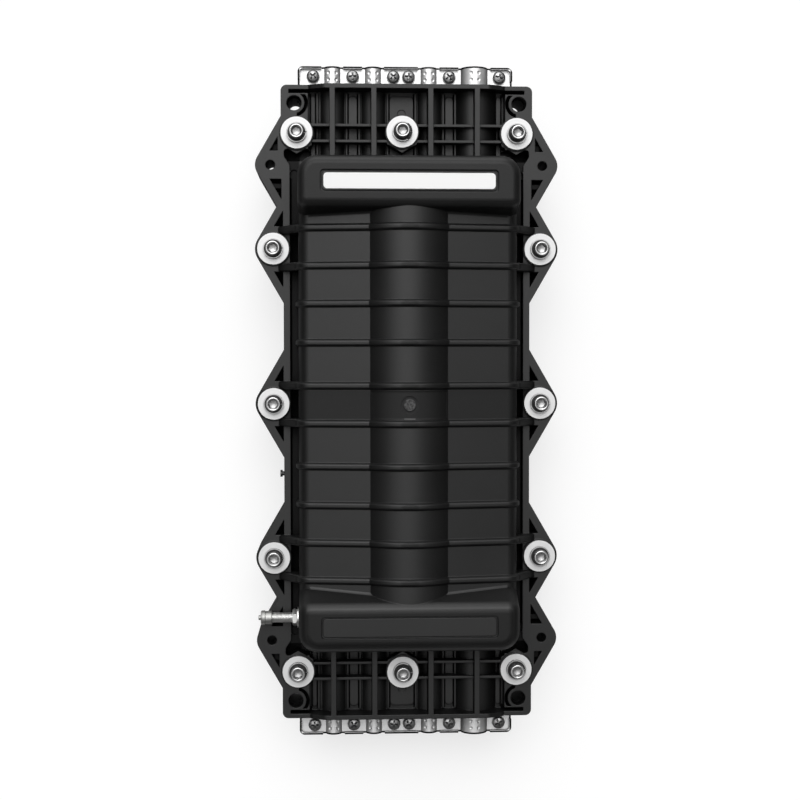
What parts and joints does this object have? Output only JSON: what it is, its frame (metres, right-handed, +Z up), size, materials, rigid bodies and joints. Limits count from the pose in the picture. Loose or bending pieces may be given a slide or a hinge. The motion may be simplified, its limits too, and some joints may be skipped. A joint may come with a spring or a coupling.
{
  "type": "fibre splice closure",
  "caption": "Flat inline splice closure: two ribbed black half shells bolted along a lugged flange, cable ports with clamp strips at both ends, splice trays inside and a test valve at the side.",
  "frame": {"origin": "centre of the overall box, on the plane it rests on", "axes": "+X across the closure, +Y along it, +Z up through the cover"},
  "size_m": [0.2032, 0.4556, 0.112],
  "materials": {
    "shell_plastic": "black moulded plastic with a faint satin sheen",
    "seal_rubber": "black seal rubber",
    "bolt_steel": "plain stainless cap screws",
    "washer_steel": "bright stamped stainless washers",
    "spring_steel": "duller spring steel",
    "insert_brass": "turned brass",
    "clamp_steel": "bright stamped stainless sheet",
    "screw_steel": "plated screws",
    "frame_steel": "zinc-plated sheet",
    "tray_plastic": "pale grey moulded plastic",
    "lid_clear": "clear smoky plastic",
    "valve_metal": "nickel-plated turned brass",
    "label_paper": "blank white label"
  },
  "bodies": {
    "base": {"base_shell": "shell_plastic", "gasket_left": "seal_rubber", "gasket_right": "seal_rubber", "port_seal_strips": "seal_rubber", "threaded_inserts": "insert_brass", "clamp_upper_rear": "clamp_steel", "clamp_upper_front": "clamp_steel", "clamp_lower_rear": "clamp_steel", "clamp_lower_front": "clamp_steel", "clamp_screws_rear": "screw_steel", "clamp_screws_front": "screw_steel", "clamp_seat_screws": "screw_steel", "tray_frame": "frame_steel", "frame_screws": "screw_steel", "splice_tray_lower": "tray_plastic", "splice_tray_upper": "tray_plastic", "tray_hinge_pins": "screw_steel", "tray_lid": "lid_clear", "anchor_bar_rear": "frame_steel", "anchor_bar_front": "frame_steel", "anchor_yokes": "insert_brass", "anchor_screws": "screw_steel", "side_screw": "screw_steel"},
    "cover": {"cover_shell": "shell_plastic", "cover_bolts": "bolt_steel", "bolt_washers": "washer_steel", "spring_washers": "spring_steel", "valve_stem": "valve_metal", "valve_seal": "seal_rubber", "valve_washer": "valve_metal", "valve_nut": "valve_metal", "label": "label_paper"},
    "valve_cap": {"valve_cap": "valve_metal"},
    "valve_core": {"valve_core": "insert_brass"}
  },
  "joints": [
    {"name": "cover_lift", "type": "slide", "parent": "base", "child": "cover", "axis": [0, 0, 1], "range_m": [0, 0.15]},
    {"name": "valve_cap_pull", "type": "slide", "parent": "cover", "child": "valve_cap", "axis": [-1, 0, 0], "range_m": [0, 0.03]},
    {"name": "valve_core_press", "type": "slide", "parent": "cover", "child": "valve_core", "axis": [1, 0, 0], "range_m": [0, 0.0015], "stiffness_N_per_m": 300, "springref_m": -0.001}
  ]
}
